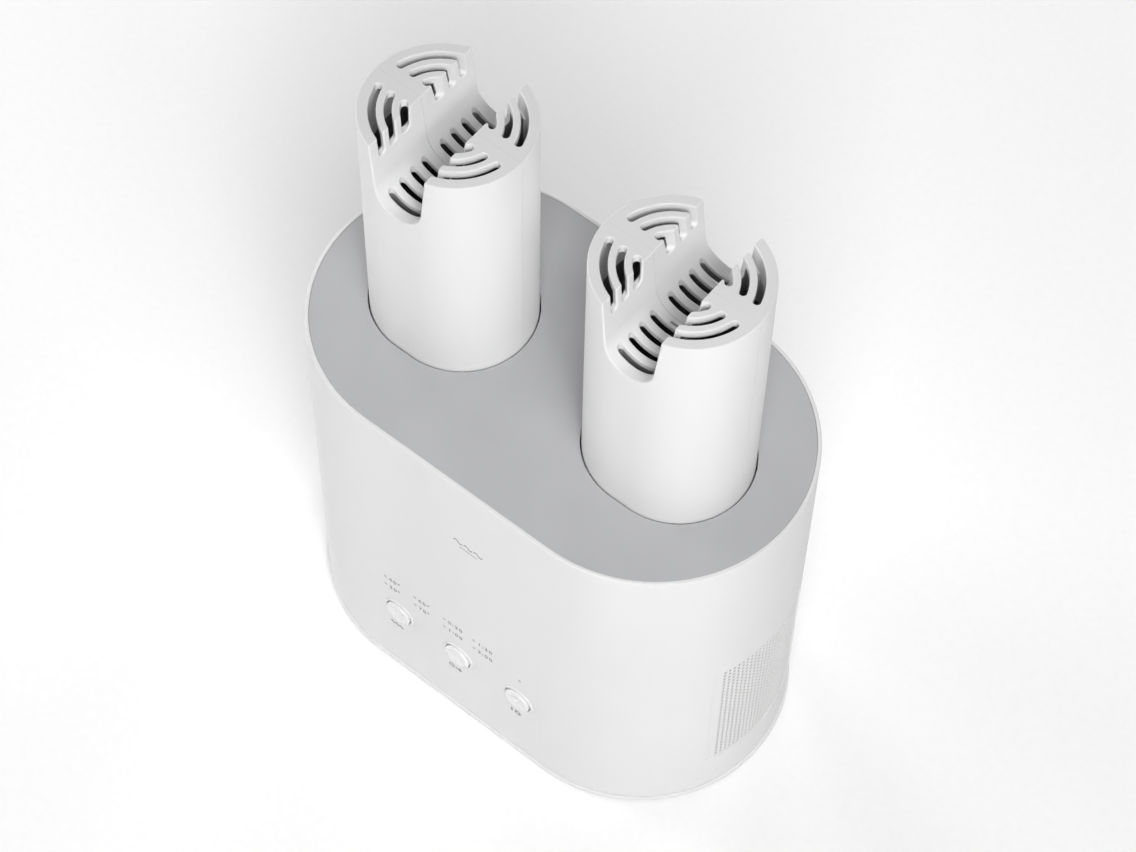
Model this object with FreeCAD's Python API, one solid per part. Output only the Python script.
import FreeCAD, Part
import math
import os

# Shoe and boot dryer: a tall obround housing with two air nozzles that slide down into it.
# Millimetres, +Z up, origin at the middle of the footprint on the floor.
# +X runs along the housing, -Y is the front with the buttons, +Y is the back with the cord gland.

V = FreeCAD.Vector

# Driving dimensions
HOUSING_LENGTH = 250.0
HOUSING_WIDTH = 146.8
HOUSING_HEIGHT = 216.0
WALL = 2.6
RIM_WIDTH = 1.8
PANEL_GAP = 0.1
BASE_FLANGE = 1.0
NOZZLE_X = 60.5
NOZZLE_HALF = 4.64
NOZZLE_R = 34.3
NOZZLE_RISE = 136.7
NOZZLE_TRAVEL = 133.0
NOZZLE_WALL = 2.4
NOZZLE_DECK = 4.0
NOZZLE_SKIRT = 5.0
NOZZLE_SKIRT_DEPTH = 30.0
TROUGH_DEPTH = 36.5
TROUGH_HALF_TOP = 14.7
TROUGH_R = 12.2
TROUGH_WALL = 3.0
SLOT_WIDTH = 3.3
SLOT_INSETS = (6.6, 13.1, 19.7)
SLOT_DEPTH = 11.7
SLOT_LAND = 5.5
FLOOR_SLOT_Y = (5.9, 12.9, 19.9)
BLIND_SLOT_Y = 26.9
BLIND_SLOT_DEPTH = 7.0
FLOOR_SLOT_REACH = 10.0
LIP = 0.7
SEAM_GAP = 0.02
SEAM_GROOVE = 0.34
BUTTON_X = (-37.0, -0.5, 36.0)
BUTTON_Z = 55.2
BUTTON_R = 7.1
BUTTON_GAP = 0.45
BUTTON_DISH = 0.9
BEZEL_R = 8.9
BEZEL_PROUD = 0.7
BUTTON_PROUD = 2.0
BUTTON_PRESS = 1.0
LED_COLUMNS = (-44.6, -26.5, -8.6, 9.4)
LED_ROWS = (82.0, 74.6)
POWER_LED = (36.8, 74.6)
VENT_HALF_ANGLE = 26.4
VENT_Z = (28.5, 117.5)
VENT_HOLE_R = 0.68
VENT_COLUMN_STEP = 2.0
VENT_COLUMNS = 23
VENT_ROWS = 28
VENT_ROW_STEP = 3.1
GLAND_X = 45.0
GLAND_Z = 24.0
CORD_BORE_R = 3.4

# Derived places
END_R = HOUSING_WIDTH / 2
HALF = HOUSING_LENGTH / 2 - END_R
INNER_R = END_R - WALL
TOP = HOUSING_HEIGHT
FRONT = -END_R
BASE_BOTTOM = 0.6
BASE_TOP = 3.0
SHELL_BOTTOM = 3.2
PANEL_THICKNESS = 2.7
PANEL_TOP = TOP - 0.15
PANEL_BOTTOM = PANEL_TOP - PANEL_THICKNESS
NOZZLE_TOP = TOP + NOZZLE_RISE
STOP_RING_BOTTOM = 199.5
STOP_RING_FLANGE = 3.5
NOZZLE_FOOT = STOP_RING_BOTTOM + STOP_RING_FLANGE + 0.1
STOP_RING_LIP = 2.0
SLEEVE_R = NOZZLE_R + STOP_RING_LIP + 0.6
SLEEVE_WALL = 2.0
SLEEVE_BOTTOM = STOP_RING_BOTTOM - NOZZLE_TRAVEL - 1.5
SEAL_BOTTOM = NOZZLE_FOOT + 0.4
SEAL_HEIGHT = 4.0
PLENUM_HALF = 56.0
PLENUM_R = 36.0
PLENUM_BOTTOM = 47.0
PLENUM_TOP = SLEEVE_BOTTOM
PLENUM_COVER = 2.5
HEATER_SIDE = 66.0
HEATER_BOTTOM = PLENUM_BOTTOM - 9.0
FAN_R = 42.0
FAN_BOTTOM = 13.0
FAN_TOP = HEATER_BOTTOM
SHAFT_R = 1.5
BOARD_Y = FRONT + 14.8
BOARD_X = 54.0
BOARD_Z = (40.0, 90.0)
CARRIER_Y = FRONT + 6.9
CARRIER_THICKNESS = 1.6
PIN_X = (-49.5, 49.5)
PIN_Z = (44.0, 86.0)
POWER_BOARD_Y = 61.0
POWER_BOARD_X = (-44.0, 26.0)
POWER_BOARD_Z = (74.0, 150.0)
BOSS_X = 100.0
BOSS_Y = 46.0
SCREW_R = 1.5
FOOT_X = 76.0
FOOT_Y = 46.0
FOOT_R = 8.0


def obround_wire(half, r, z, cx=0.0):
    """Outline of two half circles of radius r, 2*half apart along X, at height z."""
    right = Part.Arc(V(cx + half, -r, z), V(cx + half + r, 0, z), V(cx + half, r, z))
    left = Part.Arc(V(cx - half, r, z), V(cx - half - r, 0, z), V(cx - half, -r, z))
    back = Part.LineSegment(V(cx + half, r, z), V(cx - half, r, z))
    front = Part.LineSegment(V(cx - half, -r, z), V(cx + half, -r, z))
    return Part.Wire([right.toShape(), back.toShape(), left.toShape(), front.toShape()])


def obround(half, r, z0, z1, cx=0.0):
    return Part.Face(obround_wire(half, r, z0, cx)).extrude(V(0, 0, z1 - z0))


def obround_ring(half, r_out, r_in, z0, z1, cx=0.0):
    return obround(half, r_out, z0, z1, cx).cut(obround(half, r_in, z0 - 1, z1 + 1, cx))


def obround_taper(half, r0, r1, z0, z1, cx=0.0):
    return Part.makeLoft([obround_wire(half, r0, z0, cx), obround_wire(half, r1, z1, cx)], True, True)


def block(x0, x1, y0, y1, z0, z1):
    return Part.makeBox(x1 - x0, y1 - y0, z1 - z0, V(x0, y0, z0))


def rod(r, z0, z1, x=0.0, y=0.0):
    return Part.makeCylinder(r, z1 - z0, V(x, y, z0))


def tube(r_out, r_in, z0, z1, x=0.0, y=0.0):
    return rod(r_out, z0, z1, x, y).cut(rod(r_in, z0 - 1, z1 + 1, x, y))


def rod_y(r, y0, y1, x, z):
    return Part.makeCylinder(r, y1 - y0, V(x, y0, z), V(0, 1, 0))


def cone_y(r0, r1, y0, y1, x, z):
    return Part.makeCone(r0, r1, y1 - y0, V(x, y0, z), V(0, 1, 0))


def rod_x(r, x0, x1, y, z):
    return Part.makeCylinder(r, x1 - x0, V(x0, y, z), V(1, 0, 0))


def end_sector(side, r_out, r_in, half_angle, z0, z1):
    """Slice of a tube round one end of the housing; side is +1 or -1 along X."""
    centre = V(side * HALF, 0, z0)
    outer = Part.makeCylinder(r_out, z1 - z0, centre, V(0, 0, 1), 2 * half_angle)
    inner = Part.makeCylinder(r_in, z1 - z0 + 2, centre - V(0, 0, 1), V(0, 0, 1), 360)
    piece = outer.cut(inner)
    turn = -half_angle if side > 0 else 180 - half_angle
    piece.rotate(centre, V(0, 0, 1), turn)
    return piece


def edges_at(shape, z):
    """Edges that lie flat at height z."""
    return [e for e in shape.Edges if abs(e.BoundBox.ZMin - z) < 0.01 and abs(e.BoundBox.ZMax - z) < 0.01]


def group(pieces):
    return pieces[0] if len(pieces) == 1 else Part.makeCompound(pieces)


def corners(x, y):
    return [(sx * x, sy * y) for sx in (-1, 1) for sy in (-1, 1)]


def smooth_tube(points, r):
    """Round wire through points: straight runs joined by tangent arcs."""
    edges = []
    start = points[0]
    for before, at, after in zip(points, points[1:], points[2:]):
        into = (at - before).normalize()
        out = (after - at).normalize()
        turn = into.getAngle(out)
        trim = 0.45 * min((at - before).Length, (after - at).Length)
        first = at - into * trim
        last = at + out * trim
        inward = (out - into).normalize()
        radius = trim / math.tan(turn / 2)
        middle = at + inward * (radius / math.cos(turn / 2) - radius)
        edges.append(Part.LineSegment(start, first).toShape())
        edges.append(Part.Arc(first, middle, last).toShape())
        start = last
    edges.append(Part.LineSegment(start, points[-1]).toShape())
    path = Part.Wire(edges)
    direction = (points[1] - points[0]).normalize()
    ring = Part.Wire([Part.makeCircle(r, points[0], direction)])
    return path.makePipeShell([ring], True, True)


# Housing

def body_shell():
    outer = obround(HALF, END_R, SHELL_BOTTOM, TOP)
    outer = outer.makeFillet(0.9, edges_at(outer, TOP))
    z0, z1 = VENT_Z
    vents = [end_sector(side, END_R + 1, INNER_R - 1, VENT_HALF_ANGLE, z0, z1) for side in (-1, 1)]
    vented = outer.cut(vents)
    vented = vented.makeFillet(0.4, lip_edges(outer, vented))
    shell = vented.cut(obround(HALF, INNER_R, SHELL_BOTTOM - 1, TOP + 1))
    shell = shell.cut(obround(HALF, END_R - RIM_WIDTH, PANEL_BOTTOM, TOP + 1))
    ledge = obround_ring(HALF, INNER_R + 0.4, INNER_R - 2.5, PANEL_BOTTOM - 2.2, PANEL_BOTTOM)
    additions = [ledge] + [bezel(x) for x in BUTTON_X]
    for x, y in corners(BOSS_X, BOSS_Y) + [(0.0, -INNER_R + 4.2), (0.0, INNER_R - 4.2)]:
        additions.append(rod(4.6, BASE_TOP + 4.0, BASE_TOP + 22.0, x, y))
    for x in PIN_X:
        for z in PIN_Z:
            additions.append(rod_y(2.6, FRONT + 1.0, CARRIER_Y, x, z))
    for x in (POWER_BOARD_X[0] + 5, POWER_BOARD_X[1] - 5):
        for z in (POWER_BOARD_Z[0] + 5, POWER_BOARD_Z[1] - 5):
            additions.append(rod_y(3.0, POWER_BOARD_Y + 0.8, END_R - 1.0, x, z))
    shell = shell.fuse(additions)
    cuts = []
    for x, y in corners(BOSS_X, BOSS_Y) + [(0.0, -INNER_R + 4.2), (0.0, INNER_R - 4.2)]:
        cuts.append(rod(SCREW_R, BASE_TOP - 1, BASE_TOP + 14.0, x, y))
    for x in BUTTON_X:
        hole_r = BUTTON_R + BUTTON_GAP
        cuts.append(rod_y(hole_r, FRONT - 2, FRONT + WALL + 1, x, BUTTON_Z))
        cuts.append(cone_y(hole_r + 0.5, hole_r, FRONT - BEZEL_PROUD - 0.1, FRONT - BEZEL_PROUD + 0.4, x, BUTTON_Z))
    for x, z in led_places():
        cuts.append(rod_y(0.95, FRONT - 1, FRONT + WALL + 1, x, z))
    cuts.append(rod_y(8.2, INNER_R - 1, END_R + 1, GLAND_X, GLAND_Z))
    return shell.cut(cuts)


def bezel(x):
    """Low ring that stands out round a button."""
    ring = rod_y(BEZEL_R, FRONT - BEZEL_PROUD, FRONT + 1.0, x, BUTTON_Z)
    rim = [e for e in ring.Edges if abs(e.BoundBox.YMax - (FRONT - BEZEL_PROUD)) < 0.01]
    return ring.makeFillet(0.6, rim)


def led_places():
    return [(x, z) for x in LED_COLUMNS for z in LED_ROWS] + [POWER_LED]


def top_panel():
    panel = obround(HALF, END_R - RIM_WIDTH - PANEL_GAP, PANEL_BOTTOM, PANEL_TOP)
    openings = [obround(NOZZLE_HALF, NOZZLE_R + 0.7, 0, TOP + 9, s * NOZZLE_X) for s in (-1, 1)]
    panel = panel.cut(openings)
    panel = panel.makeFillet(0.2, edges_at(panel, PANEL_TOP))
    pilots = []
    for x, y in sleeve_screw_places():
        pilots.append(rod(1.0, PANEL_BOTTOM - 1, PANEL_BOTTOM + 1.8, x, y))
    return panel.cut(pilots)


def base_plate():
    plate = obround(HALF, END_R + BASE_FLANGE, BASE_BOTTOM, BASE_TOP)
    plate = plate.makeFillet(0.9, edges_at(plate, BASE_TOP))
    plate = plate.makeFillet(0.5, edges_at(plate, BASE_BOTTOM))
    plate = plate.fuse(obround_ring(HALF, INNER_R - 0.3, INNER_R - 2.1, BASE_TOP - 0.5, BASE_TOP + 3.6))
    for x, y in corners(37.0, 37.0):
        plate = plate.fuse(rod(4.5, BASE_TOP - 0.5, FAN_BOTTOM - 0.1, x, y))
    cuts = []
    for x, y in corners(37.0, 37.0):
        cuts.append(rod(1.1, BASE_TOP + 1, FAN_BOTTOM + 1, x, y))
    for x, y in corners(BOSS_X, BOSS_Y) + [(0.0, -INNER_R + 4.2), (0.0, INNER_R - 4.2)]:
        cuts.append(rod(SCREW_R + 0.4, 0, 20, x, y))
        cuts.append(rod(3.4, BASE_BOTTOM - 1, BASE_BOTTOM + 1.2, x, y))
        cuts.append(rod(5.2, BASE_TOP, BASE_TOP + 9, x, y))
    for x, y in corners(FOOT_X, FOOT_Y):
        cuts.append(rod(FOOT_R + 0.2, BASE_BOTTOM - 1, BASE_BOTTOM + 1.0, x, y))
    return plate.cut(cuts)


def base_screws():
    screws = []
    for x, y in corners(BOSS_X, BOSS_Y) + [(0.0, -INNER_R + 4.2), (0.0, INNER_R - 4.2)]:
        head = rod(3.0, BASE_BOTTOM + 0.1, BASE_BOTTOM + 1.2, x, y)
        head = head.cut(block(x - 2, x + 2, y - 0.4, y + 0.4, 0, BASE_BOTTOM + 0.6))
        screws.append(head.fuse(rod(SCREW_R - 0.05, BASE_BOTTOM + 1.0, BASE_TOP + 12.0, x, y)))
    return group(screws)


def rubber_feet():
    feet = []
    for x, y in corners(FOOT_X, FOOT_Y):
        foot = rod(FOOT_R, 0, BASE_BOTTOM + 1.0, x, y)
        feet.append(foot.makeFillet(0.4, edges_at(foot, 0)))
    return group(feet)


def side_grille(side):
    z0, z1 = VENT_Z
    plate = end_sector(side, END_R - 0.7, INNER_R - 0.6, VENT_HALF_ANGLE - 0.03, z0 + 0.04, z1 - 0.04)
    flange = end_sector(side, INNER_R - 0.2, INNER_R - 1.4, VENT_HALF_ANGLE + 2.0, z0 - 3, z1 + 3)
    grille = plate.fuse(flange)
    window = end_sector(side, INNER_R + 0.5, INNER_R - 3, VENT_HALF_ANGLE - 3.0, z0 + 1.6, z1 - 1.6)
    grille = grille.cut(window.cut(end_sector(side, INNER_R + 1, INNER_R + 0.4, 40, z0, z1)))
    holes = []
    for column in range(VENT_COLUMNS):
        angle = math.radians((column - (VENT_COLUMNS - 1) / 2) * VENT_COLUMN_STEP)
        out = V(side * math.cos(angle), math.sin(angle), 0)
        for row in range(VENT_ROWS):
            z = z0 + 2.9 + row * VENT_ROW_STEP
            start = V(side * HALF, 0, z) + out * (INNER_R - 2)
            holes.append(Part.makeCylinder(VENT_HOLE_R, WALL + 4, start, out))
    return grille.cut(holes)


def dust_filter(side):
    return end_sector(side, INNER_R - 0.7, INNER_R - 3.6, VENT_HALF_ANGLE - 3.4, VENT_Z[0] + 2, VENT_Z[1] - 2)


# Guides for the nozzles

def sleeve_screw_places():
    reach = SLEEVE_R + 4.2
    places = []
    for side in (-1, 1):
        for sx in (-1, 1):
            for sy in (-1, 1):
                along = NOZZLE_HALF + reach * math.cos(math.radians(55))
                places.append((side * NOZZLE_X + sx * along, sy * reach * math.sin(math.radians(55))))
    return places


def guide_sleeve(side):
    cx = side * NOZZLE_X
    top = PANEL_BOTTOM - 0.1
    sleeve = obround(NOZZLE_HALF, SLEEVE_R + SLEEVE_WALL, SLEEVE_BOTTOM + 0.1, top, cx)
    lip = top - 2.4
    bore = obround(NOZZLE_HALF, SLEEVE_R, SLEEVE_BOTTOM - 1, lip, cx)
    mouth = obround(NOZZLE_HALF, NOZZLE_R + 0.6, lip - 1, TOP, cx)
    ears = [rod(4.0, top - 3, top, x, y) for x, y in sleeve_screw_places() if x * side > 0]
    sleeve = sleeve.fuse(ears).cut([bore, mouth])
    return sleeve.cut([rod(1.3, top - 5, TOP, x, y) for x, y in sleeve_screw_places()])


def sleeve_screws():
    top = PANEL_BOTTOM - 3.1
    screws = []
    for x, y in sleeve_screw_places():
        head = rod(2.2, top - 1.6, top, x, y)
        screws.append(head.fuse(rod(0.98, top - 0.5, PANEL_BOTTOM + 1.6, x, y)))
    return group(screws)


def nozzle_seal(side):
    cx = side * NOZZLE_X
    return obround_ring(NOZZLE_HALF, SLEEVE_R - 0.1, NOZZLE_R + 0.3, SEAL_BOTTOM, SEAL_BOTTOM + SEAL_HEIGHT, cx)


# Nozzles

def trough_profile(grow, cx):
    """U-shaped channel through the nozzle's top along Y, made wider and deeper by grow."""
    r = TROUGH_R + grow
    centre_z = NOZZLE_TOP - TROUGH_DEPTH + TROUGH_R
    top_z = NOZZLE_TOP + 5
    top_half = TROUGH_HALF_TOP + grow + 0.3
    lean = math.atan2(TROUGH_HALF_TOP - TROUGH_R, NOZZLE_TOP - centre_z)
    touch = V(r * math.cos(lean), 0, -r * math.sin(lean))
    right = V(cx + touch.x, 0, centre_z + touch.z)
    left = V(cx - touch.x, 0, centre_z + touch.z)
    bottom = Part.Arc(left, V(cx, 0, centre_z - r), right)
    rim_right = V(cx + top_half, 0, top_z)
    rim_left = V(cx - top_half, 0, top_z)
    lines = [Part.LineSegment(right, rim_right), Part.LineSegment(rim_right, rim_left)]
    lines.append(Part.LineSegment(rim_left, left))
    wire = Part.Wire([bottom.toShape()] + [line.toShape() for line in lines])
    face = Part.Face(wire)
    face.translate(V(0, -50, 0))
    return face.extrude(V(0, 100, 0))


def top_slot(r, sx, sy, cx):
    """Round-bottomed slot on radius r in one quarter of the top; it runs out into the trough."""
    half_width = SLOT_WIDTH / 2
    z0 = NOZZLE_TOP - SLOT_DEPTH + half_width
    z1 = NOZZLE_TOP + 1
    centre = V(cx + sx * NOZZLE_HALF, 0, 0)
    inner = centre + V(r - half_width, 0, z0)
    outer = centre + V(r + half_width, 0, z0)
    rise = V(0, 0, z1 - z0)
    bottom = Part.Arc(inner, centre + V(r, 0, z0 - half_width), outer).toShape()
    profile = Part.Wire([bottom] + Part.makePolygon([outer, outer + rise, inner + rise, inner]).Edges)
    start = math.degrees(math.asin((SLOT_LAND + half_width) / r))
    turn = sx * sy
    slot = Part.Face(profile).revolve(centre, V(0, 0, 1), turn * (100 - start))
    end = rod(half_width, z0, z1, centre.x + r).fuse(Part.makeSphere(half_width, centre + V(r, 0, z0)))
    slot = slot.fuse(end).removeSplitter()
    slot.rotate(centre, V(0, 0, 1), (0 if sx > 0 else 180) + turn * start)
    return slot


def floor_slot(y, cx):
    """Slot across the trough's floor, with round ends part way up its sides."""
    half_width = SLOT_WIDTH / 2
    reach = FLOOR_SLOT_REACH - half_width
    z0 = NOZZLE_TOP - TROUGH_DEPTH - 8
    z1 = z0 + 16
    slot = block(cx - reach, cx + reach, y - half_width, y + half_width, z0, z1)
    ends = [rod(half_width, z0, z1, cx + end, y) for end in (-reach, reach)]
    return slot.fuse(ends).removeSplitter()


def nozzle_openings(cx):
    """Four groups of three concentric top slots, six open floor slots and two blind ones."""
    tools = [top_slot(NOZZLE_R - inset, sx, sy, cx) for inset in SLOT_INSETS for sx in (-1, 1) for sy in (-1, 1)]
    tools += [floor_slot(sy * y, cx) for y in FLOOR_SLOT_Y for sy in (-1, 1)]
    skin = trough_profile(BLIND_SLOT_DEPTH, cx)
    tools += [floor_slot(sy * BLIND_SLOT_Y, cx).common(skin) for sy in (-1, 1)]
    return tools


def is_rim(edge):
    """True for the rim of the top and the trough's lips, false for smooth joins and the foot."""
    box = edge.BoundBox
    above_floor = box.ZMin > NOZZLE_TOP - TROUGH_DEPTH - 0.1
    return above_floor and (box.ZMax > NOZZLE_TOP - 1 or box.YLength < 30)


def lip_edges(body, opened):
    """Edges that the openings cut in the body's skin, and its rim."""
    skin = body.Shells[0]
    smooth = Part.makeCompound([edge for edge in body.Edges if not is_rim(edge)])
    found = []
    for edge in opened.Edges:
        middle = Part.Vertex(edge.valueAt((edge.FirstParameter + edge.LastParameter) / 2))
        if skin.distToShape(middle)[0] < 0.001 and smooth.distToShape(middle)[0] > 0.001:
            found.append(edge)
    return found


def nozzle_cavity(cx):
    """Hollow of the nozzle: a wide bore, narrower behind the slots, clear of the trough's walls."""
    neck = NOZZLE_TOP - NOZZLE_SKIRT_DEPTH
    bore = obround(NOZZLE_HALF, NOZZLE_R - NOZZLE_WALL, NOZZLE_FOOT - 1, neck, cx)
    upper = obround(NOZZLE_HALF, NOZZLE_R - NOZZLE_SKIRT, neck - 1, NOZZLE_TOP - NOZZLE_DECK, cx)
    hollow = bore.fuse(upper).cut(trough_profile(TROUGH_WALL, cx))
    pads = trough_profile(BLIND_SLOT_DEPTH + TROUGH_WALL, cx)
    pad_y = BLIND_SLOT_Y - SLOT_WIDTH / 2 - 1.0
    return hollow.cut([pads.common(block(cx - 50, cx + 50, pad_y, 50, 0, NOZZLE_TOP)),
                       pads.common(block(cx - 50, cx + 50, -50, -pad_y, 0, NOZZLE_TOP))])


def seam_grooves(cx):
    """Fine grooves that follow the parting plane down the outside and round the trough."""
    half = SEAM_GROOVE / 2
    z1 = NOZZLE_TOP - LIP
    band = block(cx - 50, cx + 50, -half, half, NOZZLE_FOOT - 1, z1)
    outside = obround_ring(NOZZLE_HALF, NOZZLE_R + 1, NOZZLE_R - SEAM_GROOVE, NOZZLE_FOOT - 1, z1, cx)
    return [outside.common(band), trough_profile(SEAM_GROOVE, cx).common(band)]


def nozzle_shells(side):
    """Front and rear halves of one nozzle, parted at its middle plane."""
    cx = side * NOZZLE_X
    body = obround(NOZZLE_HALF, NOZZLE_R, NOZZLE_FOOT, NOZZLE_TOP, cx).cut(trough_profile(0.0, cx))
    opened = body.cut(nozzle_openings(cx))
    opened = opened.makeFillet(LIP, lip_edges(body, opened))
    floor_z = NOZZLE_TOP - TROUGH_DEPTH
    dash = block(cx - 2.3, cx + 1.7, -2.9, -1.9, floor_z - 8, floor_z + 8)
    opened = opened.cut([nozzle_cavity(cx), dash] + seam_grooves(cx))
    front = opened.common(block(cx - 50, cx + 50, -50, -SEAM_GAP, NOZZLE_FOOT - 1, NOZZLE_TOP + 1))
    rear = opened.common(block(cx - 50, cx + 50, SEAM_GAP, 50, NOZZLE_FOOT - 1, NOZZLE_TOP + 1))
    inside = NOZZLE_R - NOZZLE_WALL
    neck = NOZZLE_TOP - NOZZLE_SKIRT_DEPTH
    tongue = obround_ring(NOZZLE_HALF, inside + 0.3, inside - 1.0, NOZZLE_FOOT + 12, neck - 2, cx)
    tongue = tongue.common(block(cx - 50, cx + 50, -3.0, 3.0, NOZZLE_FOOT, NOZZLE_TOP))
    groove = obround(NOZZLE_HALF, inside + 1.0, NOZZLE_FOOT, NOZZLE_TOP, cx)
    groove = groove.cut(obround(NOZZLE_HALF, inside - 0.1, NOZZLE_FOOT, NOZZLE_TOP, cx))
    groove = groove.common(block(cx - 50, cx + 50, -9.0, SEAM_GAP, NOZZLE_FOOT, NOZZLE_TOP))
    return front, rear.fuse(tongue.cut(groove))


def stop_ring(side):
    """Foot of the nozzle: its flange stops under the seal and its spigot holds both halves."""
    cx = side * NOZZLE_X
    z0 = STOP_RING_BOTTOM
    z1 = z0 + STOP_RING_FLANGE
    flange = obround(NOZZLE_HALF, NOZZLE_R + STOP_RING_LIP, z0, z1, cx)
    spigot = obround(NOZZLE_HALF, NOZZLE_R - NOZZLE_WALL - 0.1, z1 - 1, z1 + 8.5, cx)
    bore = obround(NOZZLE_HALF, NOZZLE_R - NOZZLE_WALL - 2.3, z0 - 1, z1 + 9, cx)
    return flange.fuse(spigot).cut(bore)


# Controls

def button(x):
    face = FRONT - BUTTON_PROUD
    cap = rod_y(BUTTON_R, face, FRONT + 3.0, x, BUTTON_Z)
    rim = [e for e in cap.Edges if abs(e.BoundBox.YMax - face) < 0.01]
    cap = cap.makeFillet(1.0, rim)
    dish_r = BUTTON_R - 1.3
    bowl_r = (dish_r ** 2 + BUTTON_DISH ** 2) / (2 * BUTTON_DISH)
    cap = cap.cut(Part.makeSphere(bowl_r, V(x, face + BUTTON_DISH - bowl_r, BUTTON_Z)))
    flange = rod_y(BUTTON_R + 1.6, FRONT + WALL + 0.3, FRONT + WALL + 1.5, x, BUTTON_Z)
    stem = rod_y(2.4, FRONT + 2.0, BOARD_Y - 5.0, x, BUTTON_Z)
    return cap.fuse([flange, stem])


def switch_plunger(x):
    return rod_y(1.6, BOARD_Y - 4.9, BOARD_Y - 2.2, x, BUTTON_Z)


def tact_switches():
    pieces = []
    for x in BUTTON_X:
        body = block(x - 3, x + 3, BOARD_Y - 3.6, BOARD_Y - 0.1, BUTTON_Z - 3, BUTTON_Z + 3)
        pieces.append(body.cut(rod_y(1.9, BOARD_Y - 5, BOARD_Y - 1.9 + BUTTON_PRESS, x, BUTTON_Z)))
    return group(pieces)


def button_carrier():
    y1 = CARRIER_Y + CARRIER_THICKNESS
    plate = block(-BOARD_X, BOARD_X, CARRIER_Y + 0.1, y1, BOARD_Z[0], BOARD_Z[1])
    posts = []
    for x in PIN_X:
        for z in PIN_Z:
            posts.append(rod_y(2.6, CARRIER_Y + 0.5, BOARD_Y - 0.1, x, z))
    plate = plate.fuse(posts)
    cuts = [rod_y(2.8, CARRIER_Y - 5, BOARD_Y, x, BUTTON_Z) for x in BUTTON_X]
    cuts += [rod_y(1.1, CARRIER_Y - 5, y1 + 1, x, z) for x, z in led_places()]
    cuts += [rod_y(1.0, CARRIER_Y + 2.5, BOARD_Y, x, z) for x in PIN_X for z in PIN_Z]
    return plate.cut(cuts)


def control_board():
    board = block(-BOARD_X, BOARD_X, BOARD_Y, BOARD_Y + 1.6, BOARD_Z[0], BOARD_Z[1])
    holes = [rod_y(1.3, BOARD_Y - 1, BOARD_Y + 3, x, z) for x in PIN_X for z in PIN_Z]
    return board.cut(holes)


def board_screws():
    pieces = []
    for x in PIN_X:
        for z in PIN_Z:
            head = rod_y(2.2, BOARD_Y + 1.7, BOARD_Y + 3.2, x, z)
            pieces.append(head.fuse(rod_y(0.97, BOARD_Y - 4.5, BOARD_Y + 2.0, x, z)))
    return group(pieces)


def control_chips():
    y0 = BOARD_Y + 1.7
    chip = block(-16, -6, y0, y0 + 1.6, 62, 72)
    driver = block(14, 22, y0, y0 + 1.4, 64, 70)
    connector = block(-8, 8, y0, y0 + 6.0, 78, 84)
    return group([chip, driver, connector])


def light_pipes():
    return group([rod_y(0.85, FRONT - 0.05, BOARD_Y - 1.4, x, z) for x, z in led_places()])


def indicator_leds():
    leds = []
    for x, z in led_places():
        leds.append(block(x - 0.8, x + 0.8, BOARD_Y - 1.1, BOARD_Y - 0.1, z - 0.4, z + 0.4))
    return group(leds)


# Air system

def air_plenum():
    tray = obround(PLENUM_HALF, PLENUM_R, PLENUM_BOTTOM, PLENUM_TOP - PLENUM_COVER - 0.1)
    hollow = obround(PLENUM_HALF, PLENUM_R - 2, PLENUM_BOTTOM + 2, PLENUM_TOP)
    inlet = HEATER_SIDE / 2 - 3
    return tray.cut([hollow, block(-inlet, inlet, -inlet, inlet, PLENUM_BOTTOM - 1, PLENUM_TOP)])


def plenum_cover():
    cover = obround(PLENUM_HALF, PLENUM_R, PLENUM_TOP - PLENUM_COVER, PLENUM_TOP)
    for side in (-1, 1):
        collar = obround(NOZZLE_HALF, SLEEVE_R + SLEEVE_WALL, PLENUM_TOP - PLENUM_COVER, PLENUM_TOP,
                         side * NOZZLE_X)
        cover = cover.fuse(collar)
    outlets = []
    for side in (-1, 1):
        outlets.append(obround(NOZZLE_HALF, PLENUM_R - 8, 0, TOP, side * (NOZZLE_X - 4)))
    return cover.cut(outlets)


def heater_frame():
    z0 = HEATER_BOTTOM
    z1 = PLENUM_BOTTOM - 0.1
    half = HEATER_SIDE / 2
    frame = block(-half, half, -half, half, z0 + 0.1, z1)
    inner = half - 3
    return frame.cut(block(-inner, inner, -inner, inner, z0 - 1, z1 + 1))


def heater_elements():
    inner = HEATER_SIDE / 2 - 3.1
    z0 = HEATER_BOTTOM + 1.5
    return group([block(-inner, inner, y - 2.5, y + 2.5, z0, z0 + 6) for y in (-19.0, 0.0, 19.0)])


def heater_fins():
    z0 = HEATER_BOTTOM + 2.0
    inner = HEATER_SIDE / 2 - 3.1
    fins = []
    for y0, y1 in ((-inner, -21.6), (-16.4, -2.6), (2.6, 16.4), (21.6, inner)):
        for step in range(-7, 8):
            x = step * 3.9
            fins.append(block(x - 0.25, x + 0.25, y0 + 0.1, y1 - 0.1, z0, z0 + 5))
    return group(fins)


def thermal_cutout():
    z0 = PLENUM_BOTTOM + 2.1
    disc = rod(6.5, z0, z0 + 4, 70.0, 0.0)
    return disc.fuse(rod(3.5, z0 + 3, z0 + 6.5, 70.0, 0.0))


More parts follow.
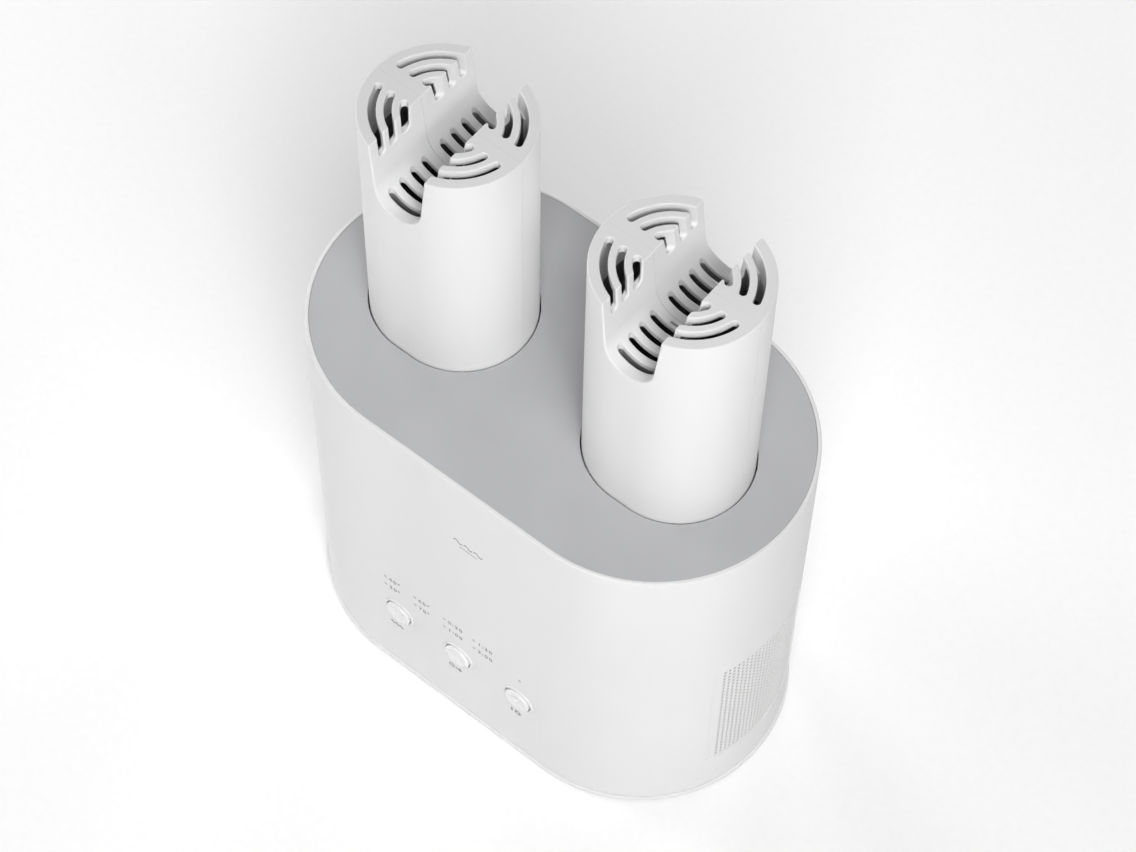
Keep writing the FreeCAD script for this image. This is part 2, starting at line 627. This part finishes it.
def blower_housing():
    duct = tube(FAN_R + 2, FAN_R, FAN_BOTTOM, FAN_TOP - 0.1)
    lugs = []
    for x, y in corners(37.0, 37.0):
        lugs.append(rod(4.5, FAN_BOTTOM, FAN_BOTTOM + 3, x, y))
        inward = rod(4.0, FAN_BOTTOM, FAN_BOTTOM + 3, x * 0.86, y * 0.86)
        lugs.append(inward)
    arms = []
    for turn in (30, 150, 270):
        arm = block(10, FAN_R + 1, -1.5, 1.5, FAN_TOP - 4.1, FAN_TOP - 0.1)
        arm.rotate(V(0, 0, 0), V(0, 0, 1), turn)
        arms.append(arm)
    hub = rod(15.5, FAN_TOP - 2.1, FAN_TOP - 0.1)
    duct = duct.fuse(lugs + arms + [hub]).cut([rod(FAN_R, FAN_BOTTOM - 1, FAN_TOP - 4.2)])
    return duct.cut([rod(1.3, 0, FAN_BOTTOM + 9, x, y) for x, y in corners(37.0, 37.0)])


def blower_screws():
    screws = []
    for x, y in corners(37.0, 37.0):
        head = rod(2.4, FAN_BOTTOM + 3.1, FAN_BOTTOM + 4.9, x, y)
        screws.append(head.fuse(rod(1.05, FAN_BOTTOM - 6, FAN_BOTTOM + 3.5, x, y)))
    return group(screws)


def motor_can():
    z1 = FAN_TOP - 4.2
    can = tube(12.0, 11.0, z1 - 11.0, z1)
    lid = rod(12.0, z1 - 1, z1)
    floor = tube(12.0, 4.4, z1 - 11.0, z1 - 10.0)
    neck = tube(4.9, 4.1, z1 - 3.2, z1 - 0.5)
    return can.fuse([lid, floor, neck])


def motor_stator():
    z1 = FAN_TOP - 4.2
    return tube(10.9, 7.2, z1 - 9.5, z1 - 3.6)


def motor_bearings():
    z1 = FAN_TOP - 4.2
    return group([tube(4.0, SHAFT_R + 0.05, z1 - 3.1, z1 - 1.1), tube(4.3, SHAFT_R + 0.05, z1 - 10.9, z1 - 9.7)])


def motor_rotor():
    z1 = FAN_TOP - 4.2
    return tube(6.8, SHAFT_R, z1 - 9.2, z1 - 4.0)


def motor_shaft():
    z1 = FAN_TOP - 4.2
    return rod(SHAFT_R, FAN_BOTTOM + 1.0, z1 - 1.2)


def fan_impeller():
    z0 = FAN_BOTTOM + 1.0
    z1 = FAN_TOP - 4.2 - 11.6
    hub = rod(11.0, z0, z1)
    blades = []
    for step in range(9):
        blade = block(8.0, FAN_R - 1.5, -0.8, 0.8, -6.0, 6.0)
        blade.rotate(V(0, 0, 0), V(1, 0, 0), 52)
        blade.translate(V(0, 0, (z0 + z1) / 2))
        blade.rotate(V(0, 0, 0), V(0, 0, 1), step * 40)
        blades.append(blade)
    wheel = hub.fuse(blades)
    wheel = wheel.common(rod(FAN_R - 1.2, z0, z1 + 1))
    return wheel.cut(rod(SHAFT_R, z0 - 2, z1 + 2))


# Power supply and wiring

def power_board():
    board = block(POWER_BOARD_X[0], POWER_BOARD_X[1], POWER_BOARD_Y - 0.9, POWER_BOARD_Y + 0.7,
                  POWER_BOARD_Z[0], POWER_BOARD_Z[1])
    holes = []
    for x in (POWER_BOARD_X[0] + 5, POWER_BOARD_X[1] - 5):
        for z in (POWER_BOARD_Z[0] + 5, POWER_BOARD_Z[1] - 5):
            holes.append(rod_y(1.3, 50, 70, x, z))
    return board.cut(holes)


def power_transformer():
    y1 = POWER_BOARD_Y - 1.0
    core = block(-34, -14, y1 - 15, y1, 112, 132)
    bobbin = block(-31, -17, y1 - 17, y1 - 15, 115, 129)
    return core.fuse(bobbin)


def power_capacitor():
    y1 = POWER_BOARD_Y - 1.0
    return rod_y(6.0, y1 - 16, y1, 12.0, 120.0)


def heater_relay():
    y1 = POWER_BOARD_Y - 1.0
    return block(-6, 12, y1 - 14, y1, 88, 102)


def terminal_block():
    y1 = POWER_BOARD_Y - 1.0
    body = block(-38, -18, y1 - 10, y1, 80, 90)
    return body.cut([rod_y(2.0, y1 - 11, y1 - 4, x, 85.0) for x in (-34.0, -28.0, -22.0)])


def fan_wire():
    y = POWER_BOARD_Y - 6.0
    return smooth_tube([V(-24, y, 79.9), V(-24, y, 55), V(-18, y - 3, 34), V(-8, FAN_R + 2.2, 27)], 1.2)


def heater_wire():
    y = POWER_BOARD_Y - 6.0
    return smooth_tube([V(2, y, 87.9), V(3, y, 66), V(6, y - 3, 48), V(8, HEATER_SIDE / 2 + 1.0, 42.4)], 1.2)


def board_cable():
    z = 81.0
    front = BOARD_Y + 8.1
    back = POWER_BOARD_Y - 1.3
    return smooth_tube([V(0, front, z), V(0, front + 30, z + 4), V(0, 0, z + 22), V(-1, back - 26, z + 26),
                        V(-1, back, z + 26)], 1.6)


def cord_gland():
    outside = END_R + BUTTON_PROUD
    flange = rod_y(11.0, END_R + 0.05, outside, GLAND_X, GLAND_Z)
    rim = [e for e in flange.Edges if abs(e.BoundBox.YMin - outside) < 0.01]
    flange = flange.makeFillet(1.0, rim)
    barrel = rod_y(8.0, INNER_R - 8.0, END_R + 1.0, GLAND_X, GLAND_Z)
    return flange.fuse(barrel).cut(rod_y(CORD_BORE_R, INNER_R - 10, outside + 1, GLAND_X, GLAND_Z))


def gland_nut():
    nut = rod_y(10.5, INNER_R - 5.0, INNER_R - 0.3, GLAND_X, GLAND_Z)
    return nut.cut(rod_y(8.05, INNER_R - 6, INNER_R + 1, GLAND_X, GLAND_Z))


os.makedirs("parts", exist_ok=True)

PARTS = {
    "body_shell": body_shell(),
    "top_panel": top_panel(),
    "base_plate": base_plate(),
    "base_screws": base_screws(),
    "rubber_feet": rubber_feet(),
    "sleeve_screws": sleeve_screws(),
    "mode_button": button(BUTTON_X[0]),
    "timer_button": button(BUTTON_X[1]),
    "power_button": button(BUTTON_X[2]),
    "mode_plunger": switch_plunger(BUTTON_X[0]),
    "timer_plunger": switch_plunger(BUTTON_X[1]),
    "power_plunger": switch_plunger(BUTTON_X[2]),
    "tact_switches": tact_switches(),
    "button_carrier": button_carrier(),
    "control_board": control_board(),
    "board_screws": board_screws(),
    "control_chips": control_chips(),
    "light_pipes": light_pipes(),
    "indicator_leds": indicator_leds(),
    "air_plenum": air_plenum(),
    "plenum_cover": plenum_cover(),
    "heater_frame": heater_frame(),
    "heater_elements": heater_elements(),
    "heater_fins": heater_fins(),
    "thermal_cutout": thermal_cutout(),
    "blower_housing": blower_housing(),
    "blower_screws": blower_screws(),
    "motor_can": motor_can(),
    "motor_stator": motor_stator(),
    "motor_bearings": motor_bearings(),
    "motor_rotor": motor_rotor(),
    "motor_shaft": motor_shaft(),
    "fan_impeller": fan_impeller(),
    "power_board": power_board(),
    "power_transformer": power_transformer(),
    "power_capacitor": power_capacitor(),
    "heater_relay": heater_relay(),
    "terminal_block": terminal_block(),
    "fan_wire": fan_wire(),
    "heater_wire": heater_wire(),
    "board_cable": board_cable(),
    "cord_gland": cord_gland(),
    "gland_nut": gland_nut(),
}
for name, side in (("left", -1), ("right", 1)):
    front, rear = nozzle_shells(side)
    PARTS["nozzle_front_" + name] = front
    PARTS["nozzle_rear_" + name] = rear
    PARTS["nozzle_stop_ring_" + name] = stop_ring(side)
    PARTS["nozzle_seal_" + name] = nozzle_seal(side)
    PARTS["guide_sleeve_" + name] = guide_sleeve(side)
    PARTS["side_grille_" + name] = side_grille(side)
    PARTS["dust_filter_" + name] = dust_filter(side)

for node, shape in PARTS.items():
    if not shape.isValid():
        print("not valid:", node)
    shape.exportStep("parts/" + node + ".step")
    print(node, len(shape.Solids), round(shape.Volume, 1))
